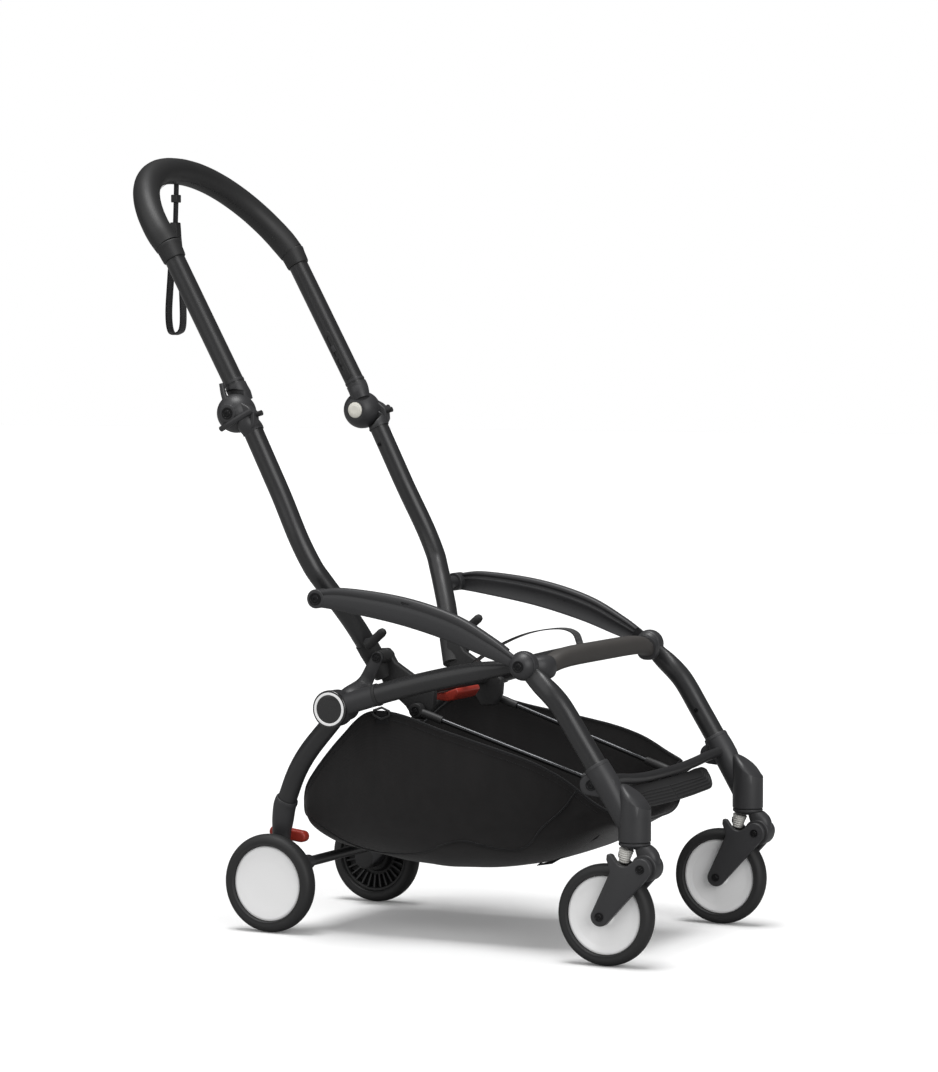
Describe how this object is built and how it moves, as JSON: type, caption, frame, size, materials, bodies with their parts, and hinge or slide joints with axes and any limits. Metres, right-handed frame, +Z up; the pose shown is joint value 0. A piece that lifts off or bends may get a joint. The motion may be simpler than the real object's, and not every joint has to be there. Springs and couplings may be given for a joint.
{
  "type": "stroller chassis",
  "caption": "Compact folding stroller chassis: seat rails, side arms, hinged hoop handle, swivel casters, rear wheels with brake pedal, footrest and open cloth basket.",
  "frame": {"origin": "on the floor, under the middle of the chassis", "axes": "+Z up, +Y towards the person pushing, X across the chassis"},
  "size_m": [0.4416, 0.8506, 1.0614],
  "materials": {
    "seat_rail_l": "satin black lacquer",
    "seat_rail_r": "satin black lacquer",
    "hub_drum_l": "satin black casting",
    "hub_drum_r": "satin black casting",
    "hub_cover_l": "fine matt grain",
    "hub_cover_r": "fine matt grain",
    "seat_knuckle_l": "satin black casting",
    "seat_knuckle_r": "satin black casting",
    "basket_clip_l": "plain woven",
    "basket_clip_r": "plain woven",
    "seat_crossbar": "soft matt",
    "pull_strap": "plain woven",
    "basket": "plain woven",
    "front_leg_l": "satin black lacquer",
    "front_leg_r": "satin black lacquer",
    "front_sleeve_l": "satin black casting",
    "front_sleeve_r": "satin black casting",
    "front_bar": "satin black lacquer",
    "footrest": "fine matt grain",
    "strut_l": "satin black lacquer",
    "strut_r": "satin black lacquer",
    "caster_yoke_l": "satin black casting",
    "elastomer_l": "satin white elastomer",
    "caster_yoke_r": "satin black casting",
    "elastomer_r": "satin white elastomer",
    "caster_fork_l": "satin black casting",
    "caster_fork_r": "satin black casting",
    "front_tyre_l": "matt foam tread",
    "front_disc_l": "satin white",
    "front_tyre_r": "matt foam tread",
    "front_disc_r": "satin white",
    "rear_leg_l": "satin black lacquer",
    "rear_leg_r": "satin black lacquer",
    "rear_foot_l": "satin black casting",
    "rear_foot_r": "satin black casting",
    "cross_tube": "satin black lacquer",
    "brake_pedal": "satin",
    "rear_tyre_l": "matt foam tread",
    "rear_disc_l": "satin white",
    "rear_tyre_r": "matt foam tread",
    "rear_disc_r": "satin white",
    "arm_l": "satin black casting",
    "arm_r": "satin black casting",
    "upright_tube_l": "satin black lacquer",
    "upright_tube_r": "satin black lacquer",
    "upright_foot_l": "fine matt grain",
    "upright_foot_r": "fine matt grain",
    "upright_knuckle_l": "satin black casting",
    "upright_knuckle_r": "satin black casting",
    "foot_crossbar": "fine matt grain",
    "fold_lever": "satin",
    "handle_knuckle_l": "satin black casting",
    "handle_knuckle_r": "satin black casting",
    "handle_tube_l": "satin black lacquer",
    "handle_tube_r": "satin black lacquer",
    "handle_grip": "soft foam",
    "wrist_strap": "plain woven",
    "handle_button_l": "satin white",
    "handle_button_r": "satin white"
  },
  "bodies": {
    "seat_frame": {"seat_rail_l": "seat_rail_l", "seat_rail_r": "seat_rail_r", "hub_drum_l": "hub_drum_l", "hub_drum_r": "hub_drum_r", "hub_cover_l": "hub_cover_l", "hub_cover_r": "hub_cover_r", "seat_knuckle_l": "seat_knuckle_l", "seat_knuckle_r": "seat_knuckle_r", "basket_clip_l": "basket_clip_l", "basket_clip_r": "basket_clip_r", "seat_crossbar": "seat_crossbar", "pull_strap": "pull_strap", "basket": "basket"},
    "front_legs": {"front_leg_l": "front_leg_l", "front_leg_r": "front_leg_r", "front_sleeve_l": "front_sleeve_l", "front_sleeve_r": "front_sleeve_r", "front_bar": "front_bar", "footrest": "footrest"},
    "struts": {"strut_l": "strut_l", "strut_r": "strut_r"},
    "caster_l": {"caster_yoke_l": "caster_yoke_l", "elastomer_l": "elastomer_l"},
    "caster_r": {"caster_yoke_r": "caster_yoke_r", "elastomer_r": "elastomer_r"},
    "fork_l": {"caster_fork_l": "caster_fork_l"},
    "fork_r": {"caster_fork_r": "caster_fork_r"},
    "front_wheel_l": {"front_tyre_l": "front_tyre_l", "front_disc_l": "front_disc_l"},
    "front_wheel_r": {"front_tyre_r": "front_tyre_r", "front_disc_r": "front_disc_r"},
    "rear_legs": {"rear_leg_l": "rear_leg_l", "rear_leg_r": "rear_leg_r", "rear_foot_l": "rear_foot_l", "rear_foot_r": "rear_foot_r", "cross_tube": "cross_tube"},
    "brake": {"brake_pedal": "brake_pedal"},
    "rear_wheel_l": {"rear_tyre_l": "rear_tyre_l", "rear_disc_l": "rear_disc_l"},
    "rear_wheel_r": {"rear_tyre_r": "rear_tyre_r", "rear_disc_r": "rear_disc_r"},
    "arms": {"arm_l": "arm_l", "arm_r": "arm_r"},
    "uprights": {"upright_tube_l": "upright_tube_l", "upright_tube_r": "upright_tube_r", "upright_foot_l": "upright_foot_l", "upright_foot_r": "upright_foot_r", "upright_knuckle_l": "upright_knuckle_l", "upright_knuckle_r": "upright_knuckle_r", "foot_crossbar": "foot_crossbar"},
    "lever": {"fold_lever": "fold_lever"},
    "handle": {"handle_knuckle_l": "handle_knuckle_l", "handle_knuckle_r": "handle_knuckle_r", "handle_tube_l": "handle_tube_l", "handle_tube_r": "handle_tube_r", "handle_grip": "handle_grip", "wrist_strap": "wrist_strap"},
    "button_l": {"handle_button_l": "handle_button_l"},
    "button_r": {"handle_button_r": "handle_button_r"}
  },
  "joints": [
    {"name": "frame_fold", "type": "hinge", "parent": "seat_frame", "child": "rear_legs", "pos_m": [0, 0.049, 0.314], "axis": [-1, 0, 0], "range_deg": [0, 82], "deforming": ["basket", "pull_strap", "basket_clip_l", "basket_clip_r"]},
    {"name": "front_fold", "type": "hinge", "parent": "seat_frame", "child": "front_legs", "pos_m": [0, -0.2374, 0.3829], "axis": [1, 0, 0], "range_deg": [0, 72]},
    {"name": "arm_fold", "type": "hinge", "parent": "seat_frame", "child": "arms", "pos_m": [0, -0.2374, 0.3829], "axis": [-1, 0, 0], "range_deg": [0, 13]},
    {"name": "upright_fold", "type": "hinge", "parent": "arms", "child": "uprights", "pos_m": [0, 0.064, 0.461], "axis": [1, 0, 0], "range_deg": [0, 119]},
    {"name": "strut_fold", "type": "hinge", "parent": "front_legs", "child": "struts", "pos_m": [0, -0.325, 0.2155], "axis": [-1, 0, 0], "range_deg": [0, 80]},
    {"name": "handle_fold", "type": "hinge", "parent": "uprights", "child": "handle", "pos_m": [0, 0.2047, 0.7058], "axis": [-1, 0, 0], "range_deg": [0, 165]},
    {"name": "button_l_press", "type": "slide", "parent": "handle", "child": "button_l", "axis": [1, 0, 0], "range_m": [0, 0.003], "stiffness_N_per_m": 800, "springref_m": -0.001},
    {"name": "caster_l_swivel", "type": "hinge", "parent": "front_legs", "child": "caster_l", "pos_m": [0.1907, -0.3897, 0.1624], "axis": [0, 0, 1], "continuous": true},
    {"name": "suspension_l", "type": "hinge", "parent": "caster_l", "child": "fork_l", "pos_m": [0.1907, -0.4073, 0.1308], "axis": [1, 0, 0], "range_deg": [0, 10], "stiffness_Nm_per_rad": 20, "springref_deg": -8.59, "deforming": ["elastomer_l"]},
    {"name": "front_wheel_l_spin", "type": "hinge", "parent": "fork_l", "child": "front_wheel_l", "pos_m": [0.1907, -0.3505, 0.0662], "axis": [1, 0, 0], "continuous": true},
    {"name": "rear_wheel_l_spin", "type": "hinge", "parent": "rear_legs", "child": "rear_wheel_l", "pos_m": [0.153, 0.1688, 0.0672], "axis": [1, 0, 0], "continuous": true},
    {"name": "button_r_press", "type": "slide", "parent": "handle", "child": "button_r", "axis": [-1, 0, 0], "range_m": [0, 0.003], "stiffness_N_per_m": 800, "springref_m": -0.001},
    {"name": "caster_r_swivel", "type": "hinge", "parent": "front_legs", "child": "caster_r", "pos_m": [-0.1907, -0.3897, 0.1624], "axis": [0, 0, 1], "continuous": true},
    {"name": "suspension_r", "type": "hinge", "parent": "caster_r", "child": "fork_r", "pos_m": [-0.1907, -0.4073, 0.1308], "axis": [1, 0, 0], "range_deg": [0, 10], "stiffness_Nm_per_rad": 20, "springref_deg": -8.59, "deforming": ["elastomer_r"]},
    {"name": "front_wheel_r_spin", "type": "hinge", "parent": "fork_r", "child": "front_wheel_r", "pos_m": [-0.1907, -0.3505, 0.0662], "axis": [1, 0, 0], "continuous": true},
    {"name": "rear_wheel_r_spin", "type": "hinge", "parent": "rear_legs", "child": "rear_wheel_r", "pos_m": [-0.153, 0.1688, 0.0672], "axis": [1, 0, 0], "continuous": true},
    {"name": "brake_press", "type": "hinge", "parent": "rear_legs", "child": "brake", "pos_m": [0, 0.1688, 0.1292], "axis": [1, 0, 0], "range_deg": [-7, 7]},
    {"name": "lever_squeeze", "type": "hinge", "parent": "uprights", "child": "lever", "pos_m": [0, -0.0217, 0.32965], "axis": [-1, 0, 0], "range_deg": [0, 5], "stiffness_Nm_per_rad": 1, "springref_deg": -5.73}
  ],
  "couplings": [
    {"joint": "front_fold", "follows": "frame_fold", "ratio": 0.85366},
    {"joint": "arm_fold", "follows": "frame_fold", "ratio": 0.15},
    {"joint": "upright_fold", "follows": "frame_fold", "ratio": 1.4268},
    {"joint": "strut_fold", "follows": "frame_fold", "ratio": 0.95122}
  ]
}
